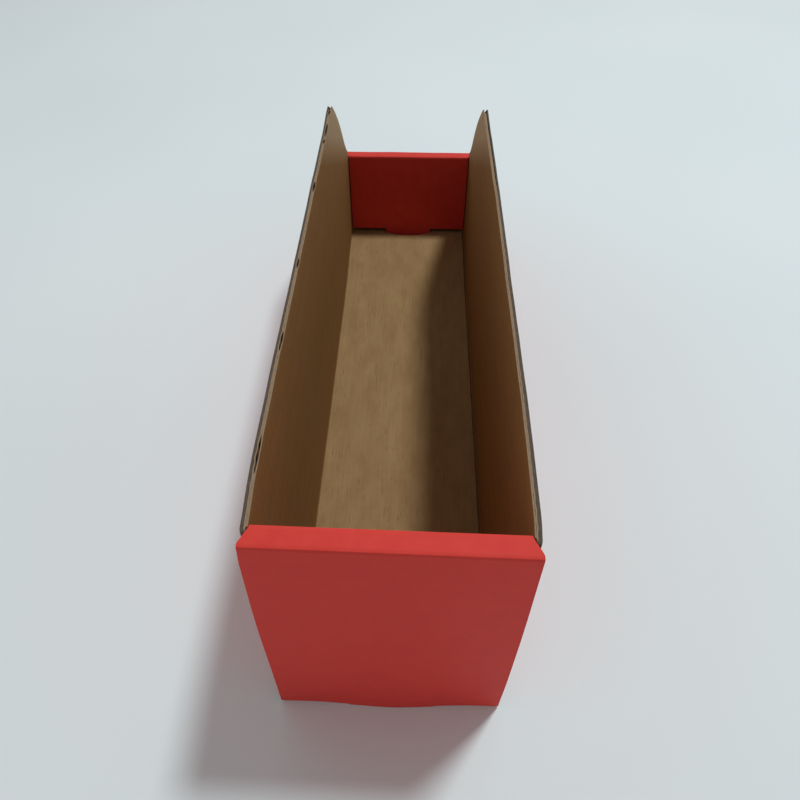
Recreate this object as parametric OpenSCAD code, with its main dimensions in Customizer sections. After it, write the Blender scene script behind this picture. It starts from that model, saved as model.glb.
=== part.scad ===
// Cardboard storage bin: one die-cut sheet of single-wall corrugated board, folded into an
// open tray. The tall end faces -Y and the low end +Y. Each end is rolled over: an outer panel
// stands up from the base, a top band crosses the walls' end flaps, and an inner panel comes
// down to the floor, where its tab locks into a slot. The origin is the middle of the underside.

/* [Bin] */
// Outer width, over the walls
bin_w = 102; // [90:1:140]
// Outer length, over the two ends
bin_l = 400; // [320:1:480]
// Height of the walls and of the tall end
bin_h = 146; // [120:1:180]
// Height of the low end
low_h = 72; // [50:1:90]
// Thickness of the corrugated board
board_t = 2.8; // [2.4:0.1:3.4]

/* [Folds] */
// Outer radius of the creases round the base and the bands
crease_r = 2.2; // [1.4:0.1:2.4]
// Outer radius of the softer bends from the walls into their flaps
bend_r = 4.5; // [3:0.5:6]
// Air left between boards that are folded onto each other
layer_gap = 0.15; // [0.1:0.05:0.3]
// Play between an inner panel's side and the wall
side_play = 0.7; // [0.3:0.1:1.2]
// Height of an inner panel's lower edge over the floor
panel_lift = 1.6; // [0.6:0.1:2.4]
// Space between the ends of the two flaps inside a rolled end
flap_space = 10; // [2:1:30]

/* [Wall cut] */
// Distance from the low end to where the wall tops begin to fall
cut_run = 87; // [60:1:120]
// Share of the fall that the upper, outward curve takes
cut_turn = 0.7; // [0.5:0.05:0.8]
// How far the upper curve stands over its chord
upper_bow = 4; // [1:0.5:8]
// How far the lower curve hangs under its chord
lower_bow = 1.2; // [0.4:0.2:3]

/* [Lock] */
// Width of a lock tab
tab_w = 38; // [24:1:60]
// Play beside and before a lock tab in its slot
tab_play = 0.7; // [0.3:0.1:1.2]
// Space between a lock tab's lower edge and the underside
tab_rise = 0.3; // [0.1:0.1:1]
// Radius of a lock tab's lower corners
tab_r = 1.5; // [0.5:0.1:2]
// How far the slot's edge bows into the floor
slot_bow = 4.5; // [1:0.5:8]
// Height to which the slot opens the outer panel's lower crease
slot_lip = 1.2; // [0.6:0.1:2]

/* [Flutes] */
// Distance from one flute to the next
flute_pitch = 6.4; // [4:0.2:9]
// Thickness of a liner
liner_t = 0.35; // [0.2:0.05:0.5]
// Thickness of the fluted sheet between the liners
medium_t = 0.3; // [0.2:0.05:0.5]
// Depth to which the flutes are open at a cut edge
flute_open = 3; // [1:0.5:6]
// Width of the openings left in a crushed wall top
crushed_open = 1.1; // [0.5:0.1:1.5]

/* [Hidden] */
$fn = 40;
past = 1; // how far a cutting shape runs past what it cuts
kraft = [0.62, 0.48, 0.33];
red_print = [0.78, 0.13, 0.1];

half_w = bin_w/2;
half_l = bin_l/2;
wall_in = half_w - board_t;                    // inner face of a wall, from the middle
panel_half_w = wall_in - side_play;            // half width of an inner panel
layer = board_t + layer_gap;
band_depth = 3*board_t + 2*layer_gap;          // outer panel, flaps and inner panel
wall_end = half_l - layer;                     // walls and flaps end behind the outer panel
flap_reach = half_w - flap_space/2;
panel_foot = board_t + panel_lift;
slot_half_w = tab_w/2 + tab_play;
slot_depth = band_depth + tab_play;            // straight part of the slot, from the end's face
slot_arc_r = (slot_half_w*slot_half_w + slot_bow*slot_bow)/(2*slot_bow);
flute_h = board_t - 2*liner_t - medium_t;      // height of one wave
flute_margin = board_t + crease_r;             // bare length at each end of a row of open flutes

// Openings that the die left in the -X wall's crushed top: distance from the tall end, length
wall_openings = [[98, 12], [152, 7.5], [220, 10], [270, 5], [284, 15], [307, 7]];

// Points on the arc from a to b that stands bow to the left of the line a-b
function arc_between(a, b, bow, steps) =
    let (chord = b - a,
         half = norm(chord)/2,
         across = [-chord[1], chord[0]]/(2*half),
         r = (half*half + bow*bow)/(2*bow),
         centre = (a + b)/2 - across*(r - bow),
         aim = atan2(across[1], across[0]),
         spread = asin(half/r))
    [for (i = [0:steps])
        let (angle = aim + spread*(1 - 2*i/steps))
        centre + r*[cos(angle), sin(angle)]];

// Rectangle from lo to hi with the listed corners rounded; a corner is [0 or 1, 0 or 1]
module rounded_rect(lo, hi, r, corners) {
    difference() {
        translate(lo) square(hi - lo);
        for (c = corners) {
            corner = [c[0] == 0 ? lo[0] : hi[0], c[1] == 0 ? lo[1] : hi[1]];
            inward = [c[0] == 0 ? 1 : -1, c[1] == 0 ? 1 : -1];
            difference() {
                translate(corner + inward*(r - past)/2) square(r + past, center = true);
                translate(corner + inward*r) circle(r);
            }
        }
    }
}

// Side view of a wall: level top, then the double curve down to the low end
module wall_outline() {
    apex = [half_l - cut_run, bin_h];
    foot = [wall_end, low_h];
    turn = apex + cut_turn*(foot - apex);
    polygon(concat(
        [[-wall_end, 0], [-wall_end, bin_h]],
        arc_between(apex, turn, upper_bow, 12),
        arc_between(turn, foot, -lower_bow, 6),
        [[wall_end, 0]]));
}

// End view of the bin, h high, without its hollow
module channel_outline(h) {
    rounded_rect([-half_w, 0], [half_w, h], crease_r, [[0, 0], [1, 0]]);
}

// Cross-section of the base with its two walls
module channel_section() {
    difference() {
        channel_outline(bin_h);
        translate([-wall_in, board_t]) square([2*wall_in, bin_h]);
    }
}

module base_and_walls() {
    color(kraft)
    intersection() {
        rotate([90, 0, 0]) linear_extrude(2*wall_end, center = true) channel_section();
        rotate([90, 0, 90]) linear_extrude(bin_w + past, center = true) wall_outline();
        linear_extrude(bin_h + past)
            rounded_rect([-half_w, -wall_end], [half_w, wall_end], bend_r,
                         [[0, 0], [1, 0], [1, 1], [0, 1]]);
    }
}

// The flaps that the two walls turn into one end, with the end at -Y and h high
module end_flaps(h) {
    color(kraft)
    translate([0, 0, layer])
    linear_extrude(h - 2*layer)
    intersection() {
        for (side = [-1, 1])
            translate([side*(half_w - flap_reach/2), -wall_end + board_t/2])
                square([flap_reach, board_t], center = true);
        rounded_rect([-half_w, -wall_end], [half_w, wall_end], bend_r, [[0, 0], [1, 0]]);
    }
}

// Plan of a top band, from the outer panel's back to the rear crease, with mitred ends
module band_plan(grow) {
    polygon([[-half_w - grow, board_t], [half_w + grow, board_t],
             [panel_half_w + grow, band_depth + grow], [-panel_half_w - grow, band_depth + grow]]);
}

// Space that a top band takes from the wall tops of an end that is h high
module band_room(h) {
    translate([0, -half_l, h - layer]) linear_extrude(bin_h) band_plan(layer_gap);
}

// Outer panel, base strip and top band of an end that is h high, at -Y
module rolled_skin(h) {
    difference() {
        intersection() {
            translate([0, -half_l, 0])
                rotate([90, 0, 90])
                linear_extrude(bin_w, center = true)
                difference() {
                    rounded_rect([0, 0], [band_depth, h], crease_r, [[0, 0], [0, 1], [1, 1]]);
                    translate([board_t, board_t]) square([band_depth, h - 2*board_t]);
                }
            rotate([90, 0, 0]) linear_extrude(bin_l + past, center = true) channel_outline(h);
        }
        translate([0, -half_l, h - board_t - layer_gap/2])
            linear_extrude(board_t + past)
            difference() {
                translate([-half_w - past, board_t]) square([bin_w + 2*past, band_depth]);
                band_plan(0);
            }
    }
}

// Inner panel of an end that is h high, at -Y, hanging from the band's rear crease
module inner_panel(h) {
    translate([0, -half_l, 0])
        rotate([90, 0, 90])
        linear_extrude(2*panel_half_w, center = true)
        rounded_rect([band_depth - board_t, panel_foot], [band_depth, h], crease_r, [[1, 1]]);
}

module lock_tab() {
    translate([0, -half_l + band_depth, 0])
        rotate([90, 0, 0])
        linear_extrude(board_t)
        rounded_rect([-tab_w/2, tab_rise], [tab_w/2, panel_foot + past], tab_r, [[0, 0], [1, 0]]);
}

module rolled_end(h) {
    color(red_print) {
        rolled_skin(h);
        inner_panel(h);
    }
}

// Slot for the lock tab at -Y: through the base with a bowed inner edge, and open at the crease
module lock_slot() {
    translate([0, -half_l, -past]) {
        linear_extrude(past + board_t + layer_gap/2) {
            translate([-slot_half_w, board_t]) square([2*slot_half_w, slot_depth - board_t]);
            intersection() {
                translate([0, slot_depth + slot_bow - slot_arc_r]) circle(slot_arc_r);
                translate([-slot_half_w, board_t]) square([2*slot_half_w, slot_depth + slot_bow]);
            }
        }
        linear_extrude(past + slot_lip)
            translate([-slot_half_w, -past]) square([2*slot_half_w, past + 2*board_t]);
    }
}

// Space between a liner and the fluted sheet at a cut edge: span long, deep into the board
module flute_space(span, deep) {
    steps = 3;
    polygon([for (i = [-steps:steps])
        [i/steps*span/2, liner_t + deep*(1 + cos(180*i/steps))/2]]);
}

// The row of open flutes along a cut edge, on both sides of the fluted sheet
module open_flutes(edge_l) {
    count = floor(edge_l/flute_pitch);
    span = flute_pitch - medium_t;
    for (i = [0:count - 1]) {
        translate([(i + 0.5)*flute_pitch, 0]) flute_space(span, flute_h);
        if (i < count - 1)
            translate([(i + 1)*flute_pitch, board_t]) mirror([0, 1]) flute_space(span, flute_h);
    }
}

// Open flutes in the two side edges of the outer panel of an end that is h high, at -Y
module panel_edge_flutes(h) {
    for (side = [0, 1])
        mirror([side, 0, 0])
            translate([half_w + past, -half_l, flute_margin])
            rotate([0, -90, 0])
            linear_extrude(flute_open + past)
            open_flutes(h - 2*flute_margin);
}

// Openings left in the -X wall's crushed top edge, next to its inner liner
module wall_top_openings() {
    for (opening = wall_openings)
        translate([-wall_in, opening[0] - half_l, bin_h - flute_open])
            linear_extrude(flute_open + past)
            rotate(90)
            flute_space(opening[1], crushed_open);
}

// One end is drawn at -Y, and the other is its mirror image
module at_both_ends() {
    children(0);
    mirror([0, 1, 0]) children(1);
}

module folded_bin() {
    difference() {
        union() {
            difference() {
                base_and_walls();
                at_both_ends() {
                    band_room(bin_h);
                    band_room(low_h);
                }
            }
            at_both_ends() {
                end_flaps(bin_h);
                end_flaps(low_h);
            }
            at_both_ends() {
                rolled_end(bin_h);
                rolled_end(low_h);
            }
        }
        at_both_ends() {
            lock_slot();
            lock_slot();
        }
        at_both_ends() {
            panel_edge_flutes(bin_h);
            panel_edge_flutes(low_h);
        }
        wall_top_openings();
    }
    color(red_print)
    at_both_ends() {
        lock_tab();
        lock_tab();
    }
}

folded_bin();
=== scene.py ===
import math
from collections import namedtuple

import bpy
import numpy as np
from mathutils import Matrix, Vector


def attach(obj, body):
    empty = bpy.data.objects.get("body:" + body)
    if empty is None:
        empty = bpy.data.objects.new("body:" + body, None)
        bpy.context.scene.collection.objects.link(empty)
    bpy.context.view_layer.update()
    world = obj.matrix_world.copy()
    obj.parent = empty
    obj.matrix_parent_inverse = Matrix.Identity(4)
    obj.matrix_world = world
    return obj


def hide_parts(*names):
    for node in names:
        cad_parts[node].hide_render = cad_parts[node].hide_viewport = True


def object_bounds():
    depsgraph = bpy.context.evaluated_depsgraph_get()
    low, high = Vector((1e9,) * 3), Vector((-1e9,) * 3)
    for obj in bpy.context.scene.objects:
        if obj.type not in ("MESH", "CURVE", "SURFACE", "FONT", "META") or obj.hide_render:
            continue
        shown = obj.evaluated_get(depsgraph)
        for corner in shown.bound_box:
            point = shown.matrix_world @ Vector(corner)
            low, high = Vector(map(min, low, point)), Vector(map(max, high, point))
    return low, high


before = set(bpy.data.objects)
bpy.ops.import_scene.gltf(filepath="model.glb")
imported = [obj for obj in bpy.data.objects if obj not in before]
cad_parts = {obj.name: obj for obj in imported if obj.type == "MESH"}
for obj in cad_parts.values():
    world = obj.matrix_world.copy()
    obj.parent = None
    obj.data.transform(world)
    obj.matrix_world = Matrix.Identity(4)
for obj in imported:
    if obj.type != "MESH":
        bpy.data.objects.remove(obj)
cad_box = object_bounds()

MM = 0.001

# The whole bin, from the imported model; the tall end is at -Y and the low end at +Y
HALF_W, HALF_L, TALL_H = (round(size/MM, 3) for size in cad_box[1])
LOW_H = 72

# The board, and the air that is left between boards folded onto each other
BOARD = 2.8
LAYER_GAP = 0.15
LAYER = BOARD + LAYER_GAP
BAND_DEPTH = 3*BOARD + 2*LAYER_GAP

# The layers, as depths from the printed face, and how far the liners follow the flutes
PRINTED_BACK = 0.45
KRAFT_BACK = 2.45
FLUTE_PITCH = 6.4
FLUTE_SHEET = 0.25
PRINTED_RIPPLE = 0.02
KRAFT_RIPPLE = 0.05

# The creases: their outer radii round the base, along the top bands and at the slots, how far
# they reach from the corner, the length of blank that each takes, and the depth of the groove
# on the kraft side at the left and at the right wall
CREASE_R = 2.2
TOP_CREASE_R = 1.2
SLOT_CREASE_R = 0.8
SLOT_CREASE_FADE = 14
CREASE_REACH = 4
CREASE_RUN = 4.4
GROOVES = {-1: 0.4, 1: 1.8}

# The bends from the walls into their flaps, which end a little short of the middle
BEND_R = 4.5
FLAP_END = 5
BEND_START = HALF_L - LAYER - BEND_R
BEND_RUN = math.pi/2*(BEND_R - BOARD/2)
FLAP_RUN = HALF_W - BEND_R - FLAP_END

# The rolled ends: where the base stops and the foot's crease starts, how far behind the face
# the band's mitre starts, the half width that it leaves untouched, and the inner panel's play
# beside the wall and height over the underside
BASE_END = HALF_L - CREASE_REACH
MITRE_START = 1.6
UNMITRED = 40
SIDE_PLAY = 0.7
PANEL_HALF_W = HALF_W - BOARD - SIDE_PLAY
PANEL_FOOT = 6.2

# The lock tab and its slot, whose inner edge is bowed; the base's grid bends with that edge
TAB_HALF_W = 19
TAB_FOOT = 0.2
TAB_LEAN = 1.2
TAB_R = 1.5
TAB_PLAY = 0.7
SLOT_HALF_W = TAB_HALF_W + TAB_PLAY
SLOT_DEPTH = BAND_DEPTH + TAB_PLAY
SLOT_BOW = 4.5
SLOT_WARP = 15

# The double curve that lowers the wall tops to the low end; a point on it is (Y, height)
CUT_RUN = 84
UPPER_SHARE = 0.7
UPPER_BOW = 3
LOWER_BOW = -1.2
CUT_APEX = np.array([HALF_L - CUT_RUN, TALL_H])
CUT_FOOT = np.array([HALF_L - LAYER, LOW_H])
CUT_TURN = CUT_APEX + UPPER_SHARE*(CUT_FOOT - CUT_APEX)

# The wall tops: over the last few millimetres the die presses the layers together. It leaves
# flutes open in places on the left, each (distance from the tall end, length, how open), and
# on the right from a little past the middle, more and more over a run
RIM = 4.5
WALL_OPENINGS = [(38, 17, 0.8), (98, 12, 0.9), (152, 7.5, 1), (220, 10, 1.2), (270, 5, 1.2),
                 (284, 15, 1.2), (307, 7, 1.2)]
RIGHT_OPEN_START = 5
RIGHT_OPEN_RUN = 35

# Extra grid lines: from the middle over the slot's bow, down the rim, round a tab's corner as
# shares of its radius, round a crease as shares of its run, and round a bend
SLOT_TICKS = (3.2, 6.5, 9.8, 13, 16, TAB_HALF_W, SLOT_HALF_W)
RIM_TICKS = (0.4, 0.9, 1.5, 2.2, 3.2, RIM)
TAB_TICKS = (0.15, 0.4, 1)
TURN_TICKS = np.linspace(0, 1, 9)
BEND_TICKS = np.linspace(0, BEND_RUN, 13)

# How close two numbers may be and still mean one grid line. Points are matched by small cells,
# which are offset by a share of a cell, so that no round number lies on a cell's edge
NEAR = 1e-6
WELD_CELL = 0.001
WELD_OFFSET = 0.37

# A panel of the blank: the grid lines across the bin and along it, and the function that puts
# a point (u, v) of the panel at its place in the folded bin
Panel = namedtuple("Panel", "across along place")

# One face of a layer: its depth at v, its depths at the rims of the left and the right wall, the
# same where the rim's flutes are open, and how far it is sunk at the points of the wall tops
Face = namedtuple("Face", "depth rim opened sunk", defaults=[0])

# Where the parts of a rolled end start, along the board from the base's end: the creases are
# foot, front and rear, and tip is the end of the lock tab
Stops = namedtuple("Stops", "foot outer front band rear inner tab tip")


def ease(x):
    """Smooth step from 0 to 1."""
    x = np.clip(x, 0, 1)
    return x*x*(3 - 2*x)


def hump(x, middle, width):
    """Smooth hump of height 1."""
    return np.exp(-((x - middle)/width)**2)


def waver(x, start):
    """A gentle irregular wave between about -1 and 1."""
    return (np.sin(x + start) + 0.6*np.sin(2.3*x + 1.7*start) + 0.4*np.sin(4.1*x + 2.9*start))/2


def ticks(low, high, step, *marks):
    """Grid lines from low to high: the marks, and each multiple of step that isn't close to one."""
    fixed = [low, high] + [m for m in marks if low < m < high]
    free = np.arange(math.ceil(low/step), math.floor(high/step) + 1)*step
    kept = [f for f in free if low < f < high and min(abs(f - m) for m in fixed) > 0.4*step]
    return np.array(sorted(fixed + kept))


def both_sides(marks):
    """The marks, and the same on the other side of the middle."""
    return [side*mark for side in (-1, 1) for mark in marks]


def within(lines, low, high, side=1):
    """The grid lines from low to high; on side -1, those from -high to -low."""
    return lines[(side*lines >= low - NEAR) & (side*lines <= high + NEAR)]


# The folded form

def crease(turn, depth, r=CREASE_R, groove=0):
    """A right-angled crease of outer radius r, whose kraft side may be pressed into a groove
    beside the first panel: how far a point lies back from the corner along each panel."""
    lead = CREASE_REACH - r
    length = 2*lead + math.pi/2*r
    run = turn*length
    angle = np.clip((run - lead)/r, 0, math.pi/2)
    outer_a = r*(1 - np.sin(angle)) + np.clip(lead - run, 0, None)
    outer_b = r*(1 - np.cos(angle)) + np.clip(run - length + lead, 0, None)
    inner_r = CREASE_REACH - BOARD
    inner_a = CREASE_REACH - inner_r*np.sin(turn*math.pi/2)
    inner_b = CREASE_REACH - inner_r*np.cos(turn*math.pi/2) - groove*np.sin(turn*math.pi)**2
    share = depth/BOARD
    return outer_a + share*(inner_a - outer_a), outer_b + share*(inner_b - outer_b)


def arc_height(y, start, end, bow):
    """Height at y of the arc from start to end that stands bow over its chord."""
    chord = end - start
    half = np.linalg.norm(chord)/2
    up = np.array([-chord[1], chord[0]])/(2*half)
    r = (half**2 + bow**2)/(2*bow)
    centre = (start + end)/2 - up*(r - bow)
    rise = np.sqrt(np.clip(r**2 - (y - centre[0])**2, 0, None))
    return centre[1] + math.copysign(1, bow)*rise


def cut_height(y):
    """Height of a wall's top edge."""
    upper = arc_height(np.clip(y, CUT_APEX[0], CUT_TURN[0]), CUT_APEX, CUT_TURN, UPPER_BOW)
    lower = arc_height(np.clip(y, CUT_TURN[0], CUT_FOOT[0]), CUT_TURN, CUT_FOOT, LOWER_BOW)
    return np.where(y < CUT_APEX[0], TALL_H, np.where(y < CUT_TURN[0], upper, lower))


def openness(side, v):
    """How open the flutes of a wall's top are, from 0 to about 1."""
    if side > 0:
        return ease((v - RIGHT_OPEN_START)/RIGHT_OPEN_RUN)
    most = 0*v
    for distance, length, share in WALL_OPENINGS:
        near = (v - (distance - HALF_L))/(length/2)
        most = np.maximum(most, share*np.sqrt(np.clip(1 - near**2, 0, 1)))
    return most


def place_base(u, v, depth, rim, opened, sunk):
    """The base; its rows are drawn in towards the bowed edge of each slot."""
    beside = np.clip(np.abs(u)/SLOT_HALF_W, 0, 1)
    start = HALF_L - SLOT_DEPTH - SLOT_WARP
    share = np.clip((np.abs(v) - start)/SLOT_WARP, 0, None)
    drawn = SLOT_BOW*(1 - beside**2)*np.where(beside < 1, share, 0)
    return u, v - np.sign(v)*drawn, depth + 0*u


def place_fold(side):
    """The crease between the base and a wall; u runs from 0 to 1 round it."""
    def place(u, v, depth, rim, opened, sunk):
        back, rise = crease(u, depth, groove=GROOVES[side])
        return side*(HALF_W - back), v + 0*u, rise
    return place


def place_wall(side):
    """A wall and the flaps that it turns into the two ends; u runs from 0 at the crease to 1
    where the rim starts, and to 2 at the top."""
    def place(u, v, depth, rim, opened, sunk):
        turn = np.clip((np.abs(v) - BEND_START)/BEND_RUN, 0, 1)
        angle = turn*math.pi/2
        point = hump(v, CUT_APEX[0] + 1, 4)

        # The top follows the cut, and in the bend it drops under the band of the end
        end_h = np.where(v < 0, TALL_H, LOW_H) - LAYER
        dip_start = 0.45*(1 - depth/BOARD)
        under_band = ease((turn - dip_start)/0.1)
        top = cut_height(v) + 0.1*waver(v/7, side)*(1 - turn) - sunk*point
        top = top + under_band*(end_h - top)
        z = np.where(u < 1, CREASE_REACH + u*(top - RIM - CREASE_REACH), top - (2 - u)*RIM)

        # In the rim the layers are pressed together, apart from where the flutes stay open
        pressed = ease(1 - (top - z)/RIM)*(0.95 + 0.05*waver(v/11, side + 2))*(1 - point)
        wall = (side + 1)//2
        at_rim = rim[wall] + openness(side, v)*(opened[wall] - rim[wall])
        r = BEND_R - depth - pressed*(at_rim - depth)
        flap = np.clip(np.abs(v) - BEND_START - BEND_RUN, 0, None)
        x = HALF_W - BEND_R + r*np.cos(angle) - flap
        y = np.clip(np.abs(v), 0, BEND_START) + r*np.sin(angle)
        return side*x, np.sign(v)*y, z
    return place


def stops(h, base=0):
    """The stops of a rolled end that is h high, with base added to each."""
    lengths = [CREASE_RUN, h - 2*CREASE_REACH, CREASE_RUN, BAND_DEPTH - 2*CREASE_REACH,
               CREASE_RUN, h - CREASE_REACH - PANEL_FOOT, PANEL_FOOT - TAB_FOOT]
    return Stops(*(base + np.concatenate([[0], np.cumsum(lengths)])))


def place_end(side, h, apron=False):
    """A rolled end: outer panel, top band, inner panel and lock tab. The apron is the strip of
    the outer panel that runs straight down at the slot, where no crease joins it to the base."""
    stop = stops(h)

    def rolled(run, depth, foot_r=CREASE_R):
        """How far in from the end's face, and how high, a point lies."""
        turns = [np.clip((run - start)/CREASE_RUN, 0, 1) for start in (stop.foot, stop.front, stop.rear)]
        low_a, low_b = crease(turns[0], depth, foot_r)
        front_a, front_b = crease(turns[1], depth, TOP_CREASE_R)
        rear_a, rear_b = crease(turns[2], depth, TOP_CREASE_R)
        stretches = [
            (run >= stop.inner, BAND_DEPTH - depth, h - CREASE_REACH - (run - stop.inner)),
            (run >= stop.rear, BAND_DEPTH - rear_a, h - rear_b),
            (run >= stop.band, CREASE_REACH + run - stop.band, h - depth),
            (run >= stop.front, front_b, h - front_a),
            ((run >= stop.outer) | apron, depth, CREASE_REACH + run - stop.outer),
            (run >= stop.foot - NEAR, low_a, low_b)]
        whens = [when for when, _, _ in stretches]
        return [np.select(whens, [stretch[i] + 0*run for stretch in stretches]) for i in (1, 2)]

    def place(u, v, depth, rim, opened, sunk):
        run = np.abs(v) - BASE_END
        beside_slot = ease(1 - (np.abs(u) - SLOT_HALF_W)/SLOT_CREASE_FADE)
        foot_r = CREASE_R - (CREASE_R - SLOT_CREASE_R)*beside_slot
        inward, height = rolled(run, depth, foot_r)
        inward = inward + TAB_LEAN*ease((run - stop.tab)/(stop.tip - stop.tab))*(not apron)

        # The mitre narrows the band towards the inner panel
        printed_inward, _ = rolled(run, 0*depth)
        mitre = np.clip((printed_inward - MITRE_START)/(BAND_DEPTH - MITRE_START), 0, 1)
        half_w = HALF_W - (HALF_W - PANEL_HALF_W)*mitre*(run > stop.front)
        beyond = np.clip(np.abs(u) - UNMITRED, 0, None)*(half_w - UNMITRED)/(HALF_W - UNMITRED)

        # The lock tab's lower corners are round
        corner = np.clip(TAB_R - (height - TAB_FOOT), 0, TAB_R)
        rounding = TAB_R - np.sqrt(TAB_R**2 - corner**2)
        tab_share = np.where(run > stop.tab, 1 - rounding/TAB_HALF_W, 1)
        x = np.sign(u)*(np.clip(np.abs(u), 0, UNMITRED) + beyond)*tab_share
        return x, side*(HALF_L - inward), height
    return place


def base_and_wall_panels(rows, wide, along_step, across_step):
    """The base, the walls with their flaps, and the creases between them."""
    slot_row = HALF_L - SLOT_DEPTH
    wall_rows = within(rows, -BEND_START, BEND_START)
    wall_out = BEND_START + ticks(0, BEND_RUN + FLAP_RUN, along_step, *BEND_TICKS)
    wall_v = np.concatenate([-wall_out[:0:-1], wall_rows, wall_out[1:]])
    wall_u = np.concatenate([np.linspace(0, 1, max(3, round(TALL_H/across_step))),
                             1 + np.array(RIM_TICKS)/RIM])
    panels = [Panel(within(wide, -SLOT_HALF_W, SLOT_HALF_W), within(rows, -slot_row, slot_row),
                    place_base)]
    for side in (-1, 1):
        panels += [Panel(within(wide, SLOT_HALF_W, HALF_W - CREASE_REACH, side), rows, place_base),
                   Panel(TURN_TICKS, wall_rows, place_fold(side)),
                   Panel(wall_u, wall_v, place_wall(side))]
    return panels


def end_panels(end, h, wide, along_step):
    """The rolled end that is h high, with the base's corners beside it."""
    stop = stops(h, BASE_END)
    crease_lines = [start + CREASE_RUN*t for start in (stop.foot, stop.front, stop.rear)
                    for t in TURN_TICKS[1:-1]]
    tab_lines = [stop.tip - TAB_R*t for t in TAB_TICKS]
    lines = ticks(stop.foot, stop.tip, along_step, *stop[1:-1], *crease_lines, *tab_lines)
    apron_lines = np.linspace(stop.outer + TAB_FOOT - CREASE_REACH, stop.outer, 5)
    place = place_end(end, h)
    panels = []
    for side in (-1, 1):
        panels += [Panel(within(wide, HALF_W - CREASE_REACH, HALF_W, side),
                         end*ticks(BEND_START, BASE_END, along_step), place_base),
                   Panel(within(wide, SLOT_HALF_W, HALF_W, side),
                         end*within(lines, stop.foot, stop.outer), place)]
    panels += [Panel(within(wide, -SLOT_HALF_W, SLOT_HALF_W), end*apron_lines,
                     place_end(end, h, apron=True)),
               Panel(wide, end*within(lines, stop.outer, stop.tab), place),
               Panel(within(wide, -TAB_HALF_W, TAB_HALF_W), end*within(lines, stop.tab, stop.tip),
                     place)]
    return panels


def blank(along_step, across_step):
    """The panels of the folded blank, as grids with shared lines."""
    slot_row = HALF_L - SLOT_DEPTH
    rows = ticks(-BASE_END, BASE_END, along_step,
                 *both_sides((slot_row - SLOT_WARP, slot_row, BEND_START)))
    wide = ticks(-HALF_W, HALF_W, across_step, *both_sides((*SLOT_TICKS, HALF_W - CREASE_REACH)))
    return (base_and_wall_panels(rows, wide, along_step, across_step)
            + end_panels(-1, TALL_H, wide, along_step) + end_panels(1, LOW_H, wide, along_step))


# The small departures of the real, hand-folded bin from its exact form; tall is the distance
# from the tall end's face

def sideways(x, tall, z):
    """How far a point stands towards +X."""
    up = z/TALL_H
    left, right = ease(-x/45), ease(x/45)
    bent = ease((np.abs(x) - 47.6)/0.5)*ease((tall - 3)/5)

    # The wall tops waver and lean to +X, apart from the right one's beside the tall end
    lean_left = 0.45 + 0.85*np.exp(-tall/25) + 0.6*bent*hump(tall, 8, 13) - 0.6*ease((tall - 280)/30)
    lean_right = 0.6 - 1.1*np.exp(-tall/25) - 0.5*bent*hump(tall, 4, 7) - 0.45*ease((tall - 240)/60)
    dx = up*(left*lean_left + right*lean_right)
    dx = dx + 0.12*up*(left*waver(tall/23, 1) + right*waver(tall/19, 4))

    # Near the tall end the bin is wider low down, and the end's sides belly out
    dx = dx + ease(1 - tall/80)*(1 - up)*(0.4*right - 2.4*left)
    at_face = ease(1 - tall/20)
    dx = dx + at_face*(hump(z, 87, 45)*(0.4*right - 0.8*left) - 0.5*right*ease(1 - z/40))

    # The band's left end stops a little short
    dx = dx + 0.4*left*ease((z - 135)/9)*ease((9 - tall)/6)

    # Between the ends the walls' feet are drawn in
    between = ease((tall - 9)/20)*ease((370 - tall)/60)
    return dx + (0.9*left - 0.7*right)*ease(1 - z/60)*between


def endways(x, tall, z):
    """How far a point stands towards +Y, apart from the low end."""
    up = z/TALL_H

    # The tall end is turned a little, its outer panel stands off, and its foot bows outwards
    dy = -0.94*x/HALF_W*up*ease(1 - tall/80) - (1.3 - 0.65*up)*ease((9 - tall)/6)
    foot = ease(1 - z/30)*ease(1 - tall/6)
    dy = dy - foot*(1.35*hump(x, 0, 20) - 0.2)

    # The walls' tips at their falling edges are shifted, the left one on and the right one back
    tip = ease((np.abs(x) - 47.6)/0.5)*ease((tall - 260)/40)*ease((z - 95)/50)
    return dy + (0.25 - 1.1*x/HALF_W)*tip


def settle(x, y, z):
    """A point of the exact form, moved to where the real bin has it."""
    tall = y + HALF_L
    dx, dy = sideways(x, tall, z), endways(x, tall, z)

    # The low end's band stands up and wavers, and its inner panel leans on the flaps
    inward = HALF_L - y
    low_end = ease(1 - inward/20)*ease((z - 55)/15)
    dy = dy + 0.7*low_end*ease((inward - 3)/4)
    dz = low_end*(0.2 + 0.25*waver(x/16, 2)*ease(1 - np.abs(x)/HALF_W))
    return x + dx, y + dy, z + dz


# The shells

def flat(depth):
    """The depth of a face without flutes."""
    return lambda v: depth + 0*v


# The printed and the kraft side of an exact board, by which the panels' shared lines are matched
FRONT = Face(flat(0), (0, 0), (0, 0))
BACK = Face(flat(BOARD), (BOARD, BOARD), (BOARD, BOARD))


def grid_quads(panel, printed, kraft):
    """The quads of a panel's grid, wound so that its printed side is their outside."""
    count = len(panel.along)
    i, j = (g.ravel() for g in np.meshgrid(np.arange(len(panel.across) - 1), np.arange(count - 1),
                                           indexing="ij"))
    corner = i*count + j
    quads = np.stack([corner, corner + count, corner + count + 1, corner + 1], 1)
    a, b, _, d = quads[len(quads)//2]
    normal = np.cross(printed[b] - printed[a], printed[d] - printed[a])
    outward = printed[a] - kraft[a]
    return quads if normal @ outward >= 0 else quads[:, ::-1]


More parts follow.
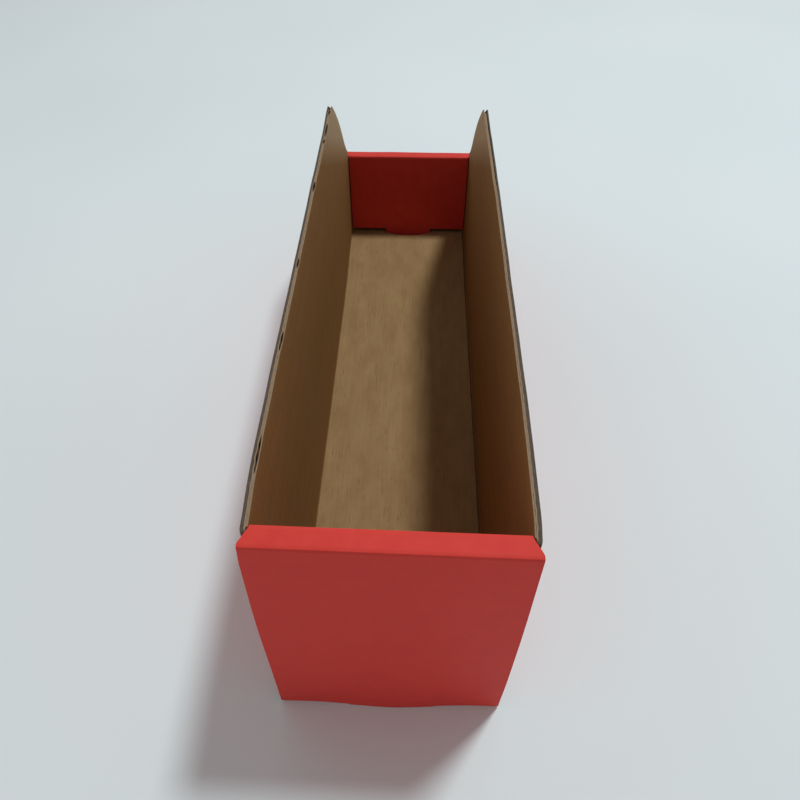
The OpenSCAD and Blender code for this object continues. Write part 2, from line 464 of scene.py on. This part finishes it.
def welded(panels, lower, upper):
    """The points of a layer's two faces, and the quads of each, with the shared lines joined."""
    cells, low_points, high_points, quads, start = [], [], [], [], 0
    for panel in panels:
        u, v = (g.ravel() for g in np.meshgrid(panel.across, panel.along, indexing="ij"))
        printed, kraft, low, high = (
            np.stack(np.broadcast_arrays(*panel.place(u, v, face.depth(v), *face[1:])), 1)
            for face in (FRONT, BACK, lower, upper))
        cells.append(np.hstack([printed, kraft]))
        low_points.append(low)
        high_points.append(high)
        quads.append(start + grid_quads(panel, printed, kraft))
        start += len(u)
    cells = np.round(np.vstack(cells)/WELD_CELL + WELD_OFFSET).astype(int)
    _, first, joined = np.unique(cells, axis=0, return_index=True, return_inverse=True)
    return np.vstack(low_points)[first], np.vstack(high_points)[first], joined.ravel()[np.vstack(quads)]


def edge_quads(quads, total):
    """The quads that close a shell of total points a face, all along its border."""
    edges = np.vstack([quads[:, [k, (k + 1) % 4]] for k in range(4)])
    code = edges.min(1)*total + edges.max(1)
    _, where, uses = np.unique(code, return_index=True, return_counts=True)
    border = edges[where[uses == 1]]
    return np.stack([border[:, 1], border[:, 0], border[:, 0] + total, border[:, 1] + total], 1)


def shell(name, panels, lower, upper, finishes):
    """A closed thin shell of the folded blank between two faces, whose depths may vary along v;
    the finishes are those of the lower face, the upper face and the cut edges."""
    low_points, high_points, quads = welded(panels, lower, upper)
    total = len(low_points)
    sides = edge_quads(quads, total)
    points = np.stack(settle(*np.vstack([low_points, high_points]).T), 1)*MM
    faces = np.vstack([quads, quads[:, ::-1] + total, sides])
    finish_numbers = np.repeat([0, 1, 2], [len(quads), len(quads), len(sides)])
    mesh = bpy.data.meshes.new(name)
    mesh.from_pydata(points.tolist(), [], faces.tolist())
    for finish in finishes:
        mesh.materials.append(finish)
    mesh.polygons.foreach_set("material_index", finish_numbers)
    mesh.polygons.foreach_set("use_smooth", np.ones(len(faces), bool))
    mesh.set_sharp_from_angle(angle=math.radians(40))
    mesh.update()
    piece = bpy.data.objects.new(name, mesh)
    bpy.context.scene.collection.objects.link(piece)
    return piece


# Finishes

def linear(code):
    """Linear colour of an sRGB hex code."""
    parts = [int(code[i:i + 2], 16)/255 for i in (1, 3, 5)]
    return [c/12.92 if c <= 0.04045 else ((c + 0.055)/1.055)**2.4 for c in parts] + [1]


def add(material, kind, sockets=(), **settings):
    """Adds a node: settings are its own, sockets are (input, a value or the output that feeds it)."""
    made = material.node_tree.nodes.new(kind)
    for name, value in settings.items():
        setattr(made, name, value)
    for socket, value in sockets:
        if isinstance(value, bpy.types.NodeSocket):
            material.node_tree.links.new(value, made.inputs[socket])
        else:
            made.inputs[socket].default_value = value
    return made


def new_material(name):
    """A material with no nodes yet."""
    material = bpy.data.materials.new(name)
    material.use_nodes = True
    material.node_tree.nodes.clear()
    return material


def close(material, **sockets):
    """Gives the material its shader and output."""
    shader = add(material, "ShaderNodeBsdfPrincipled",
                 [(name.replace("_", " "), value) for name, value in sockets.items()])
    add(material, "ShaderNodeOutputMaterial", [("Surface", shader.outputs[0])])
    return material


def grains(material, spacing, detail=3):
    """Noise whose grains are spacing millimetres apart along X, Y and Z."""
    where = add(material, "ShaderNodeTexCoord").outputs["Object"]
    scaled = add(material, "ShaderNodeMapping",
                 [("Vector", where), ("Scale", [1/(MM*s) for s in spacing])])
    return add(material, "ShaderNodeTexNoise", [("Vector", scaled.outputs[0]), ("Scale", 1.0),
                                                ("Detail", detail), ("Roughness", 0.55)]).outputs[0]


def spread(material, value, low, high, to_low=0.0, to_high=1.0):
    """The value, with low to high spread over to_low to to_high."""
    return add(material, "ShaderNodeMapRange",
               [("Value", value), ("From Min", low), ("From Max", high), ("To Min", to_low),
                ("To Max", to_high)]).outputs[0]


def mixed(material, share, first, second):
    """The first colour, with a share of the second."""
    return add(material, "ShaderNodeMix", [("Factor", share), (6, first), (7, second)],
               data_type="RGBA").outputs[2]


def kraft_testliner():
    """Brown kraft testliner, rolled on a paper machine: matt, with fibres drawn out along the
    board, soft clouds, a few dark specks and thin scuffs. The walls carry painted shade: they
    are a little darker and browner than the floor. The tips of the walls, beside their falling
    edges, carry painted light: they are paler and greyer."""
    m = new_material("kraft_testliner")
    # Real fibres are hundredths of a millimetre wide, and are drawn 0.8 mm wide so that they show
    fibres = grains(m, (0.8, 40, 0.8))
    clouds = grains(m, (9, 22, 9))
    specks = grains(m, (0.9, 1.6, 0.9), 2)
    scuffs = grains(m, (0.6, 15, 0.6), 2)
    where = add(m, "ShaderNodeTexCoord").outputs["Object"]
    along, height = add(m, "ShaderNodeSeparateXYZ", [(0, where)]).outputs[1:]
    # Painted shade: from 3 to 8 mm above the underside the kraft turns to the walls' darker colours
    wall_shade_share = spread(m, height, 3*MM, 8*MM)
    # Painted light on the wall tips: it starts at a line that slants across each wall
    tip_light_line = add(m, "ShaderNodeMath", [(0, along), (1, 0.53), (2, height)],
                 operation="MULTIPLY_ADD").outputs[0]
    # Floor and wall colours of the one kraft; the walls' darker, browner pair is painted shade
    base = mixed(m, wall_shade_share, linear("#9e8058"), linear("#8d673a"))
    pale = mixed(m, wall_shade_share, linear("#a68860"), linear("#956f42"))
    colour = mixed(m, spread(m, fibres, 0.3, 0.7), base, pale)
    colour = mixed(m, spread(m, clouds, 0.35, 0.7, 0, 0.4), colour, linear("#83633c"))
    # Painted light: beyond that line the wall tips are lifted towards a pale grey-tan
    colour = mixed(m, spread(m, tip_light_line, 168*MM, 188*MM, 0, 0.7), colour, linear("#c4af8e"))
    colour = mixed(m, spread(m, specks, 0.74, 0.8, 0, 0.6), colour, linear("#54402a"))
    colour = mixed(m, spread(m, scuffs, 0.65, 0.71, 0, 0.55), colour, linear("#6a5033"))
    tooth = add(m, "ShaderNodeBump", [("Height", fibres), ("Strength", 0.15), ("Distance", 0.1*MM)])
    return close(m, Base_Color=colour, Roughness=0.95, Specular_IOR_Level=0.1,
                 Normal=tooth.outputs[0])


def red_flood_print():
    """Red flexo flood print on coated liner: even and slightly silky, with a faint mottle
    where the board takes the ink unevenly."""
    m = new_material("red_flood_print")
    mottle = grains(m, (7, 7, 7))
    grain = grains(m, (0.5, 0.5, 0.5), 2)
    colour = mixed(m, spread(m, mottle, 0.3, 0.7), linear("#cf3e37"), linear("#d5443c"))
    rough = spread(m, mottle, 0.3, 0.7, 0.52, 0.6)
    tooth = add(m, "ShaderNodeBump", [("Height", grain), ("Strength", 0.12), ("Distance", 0.05*MM)])
    return close(m, Base_Color=colour, Roughness=rough, Specular_IOR_Level=0.08,
                 Normal=tooth.outputs[0])


def grey_liner_back():
    """Recycled grey back of the printed liner: a dull grey-brown line along every cut edge."""
    m = new_material("grey_liner_back")
    fibres = grains(m, (0.7, 2, 0.7))
    colour = mixed(m, spread(m, fibres, 0.3, 0.7), linear("#4e443a"), linear("#5e5347"))
    return close(m, Base_Color=colour, Roughness=0.9, Specular_IOR_Level=0.2)


def fluting_medium():
    """Recycled fluting paper: dark brown and matt, seen inside the open flutes."""
    m = new_material("fluting_medium")
    fibres = grains(m, (0.8, 0.8, 0.8))
    colour = mixed(m, spread(m, fibres, 0.3, 0.7), linear("#765c43"), linear("#84694d"))
    return close(m, Base_Color=colour, Roughness=0.9, Specular_IOR_Level=0.1)


def die_cut_edge():
    """Die-cut edge of the fluting and the kraft liner: torn fibres, paler and greyer than the
    faces of the paper."""
    m = new_material("die_cut_edge")
    fibres = grains(m, (0.8, 0.8, 0.8))
    colour = mixed(m, spread(m, fibres, 0.3, 0.7), linear("#84705a"), linear("#948068"))
    return close(m, Base_Color=colour, Roughness=0.95, Specular_IOR_Level=0.1)


def matt_floor():
    """Plain pale floor, matt and almost even, so that the bin's shadow and its red show on it."""
    m = new_material("matt_floor")
    clouds = grains(m, (300, 300, 300), 1)
    colour = mixed(m, spread(m, clouds, 0.3, 0.7), linear("#dce7e7"), linear("#e0eaea"))
    return close(m, Base_Color=colour, Roughness=0.8, Specular_IOR_Level=0.2)


# The three layers

def ripple(v):
    """The flutes' wave along the board, between -1 and 1."""
    return np.cos(2*math.pi*v/FLUTE_PITCH)


def wave_middle(v):
    """Depth of the middle of the fluted sheet."""
    swing = (KRAFT_BACK - PRINTED_BACK - FLUTE_SHEET)/2
    return (KRAFT_BACK + PRINTED_BACK)/2 + swing*ripple(v)


RED, KRAFT, GREY, FLUTES = red_flood_print(), kraft_testliner(), grey_liner_back(), fluting_medium()
CUT_EDGE = die_cut_edge()

printed_liner = shell("printed_liner", blank(along_step=1.6, across_step=6),
                      Face(lambda v: PRINTED_RIPPLE*(1 + ripple(v)), (0, 0), (0, 0)),
                      Face(flat(PRINTED_BACK), (1.15, 1.3), (1, 0.9)), (RED, GREY, GREY))
fluted_sheet = shell("fluted_sheet", blank(along_step=0.8, across_step=16),
                     Face(lambda v: wave_middle(v) - FLUTE_SHEET/2, (1.15, 1.3), (1, 1.35), 3),
                     Face(lambda v: wave_middle(v) + FLUTE_SHEET/2, (1.9, 1.9), (1.35, 2.3), 3),
                     (FLUTES, FLUTES, CUT_EDGE))
kraft_liner = shell("kraft_liner", blank(along_step=1.6, across_step=6),
                    Face(flat(KRAFT_BACK), (1.9, 1.9), (2.45, 2.3)),
                    Face(lambda v: BOARD + KRAFT_RIPPLE*(ripple(v) - 1), (2.6, 2.5), (2.8, 2.85)),
                    (KRAFT, KRAFT, CUT_EDGE))

for piece, slot in ((printed_liner, "red_print"), (kraft_liner, "kraft_liner"),
                    (fluted_sheet, "cut_edge")):
    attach(piece, "root")
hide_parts("folded_bin")


# Floor, light and camera

def floor():
    """A wide floor, a hair under the bin."""
    mesh = bpy.data.meshes.new("floor")
    reach, level = 6, -0.05*MM
    mesh.from_pydata([(-reach, -reach, level), (reach, -reach, level), (reach, reach, level),
                      (-reach, reach, level)], [], [(0, 1, 2, 3)])
    mesh.materials.append(matt_floor())
    made = bpy.data.objects.new("floor", mesh)
    bpy.context.scene.collection.objects.link(made)


def studio_lamp():
    """A soft lamp high over the bin, a little to the right and behind."""
    lamp = bpy.data.lights.new("studio_lamp", "AREA")
    lamp.shape = "DISK"
    lamp.size = 0.34
    lamp.energy = 35.4
    lamp.color = (0.93, 1, 1.03)
    made = bpy.data.objects.new("studio_lamp", lamp)
    place = Vector((0.66, 0.48, 2.4))
    made.matrix_world = Matrix.Translation(place) @ place.to_track_quat("Z", "Y").to_matrix().to_4x4()
    bpy.context.scene.collection.objects.link(made)


def room_light():
    """A pale room: brightest low down behind the bin, towards +Y, and dim on the right."""
    world = bpy.data.worlds.new("room")
    world.use_nodes = True
    world.node_tree.nodes.clear()
    direction = add(world, "ShaderNodeTexCoord").outputs["Generated"]
    axes = add(world, "ShaderNodeSeparateXYZ", [(0, direction)]).outputs
    behind = spread(world, axes["Y"], 0.0, 1.0, 0.1, 0.95)
    before = spread(world, axes["Y"], 0.0, -1.0, 0.0, 0.42)
    left = spread(world, axes["X"], 0.0, -1.0, 0.0, 0.45)
    low = behind
    for side in (before, left):
        low = add(world, "ShaderNodeMath", [(0, low), (1, side)], operation="ADD").outputs[0]
    strength = spread(world, axes["Z"], 0.2, 0.8, low, 0.3)
    room = add(world, "ShaderNodeBackground", [("Color", (1, 0.92, 0.93, 1)), ("Strength", strength)])
    add(world, "ShaderNodeOutputWorld", [("Surface", room.outputs[0])])
    bpy.context.scene.world = world


def camera():
    """Stands in front of the tall end and looks down into the bin."""
    data = bpy.data.cameras.new("camera")
    data.lens = 30.05
    data.sensor_width = 36
    data.clip_start = 0.01
    made = bpy.data.objects.new("camera", data)
    place = Vector((7.13, -306.83, 338.53))*MM
    pitch, yaw, roll = (math.radians(a) for a in (48.114, -1.638, -0.096))
    made.matrix_world = (Matrix.Translation(place) @ Matrix.Rotation(-yaw, 4, "Z")
                         @ Matrix.Rotation(math.pi/2 - pitch, 4, "X")
                         @ Matrix.Rotation(roll, 4, "Z"))
    bpy.context.scene.collection.objects.link(made)
    bpy.context.scene.camera = made


floor()
studio_lamp()
room_light()
camera()
bpy.context.scene.view_settings.view_transform = "Standard"
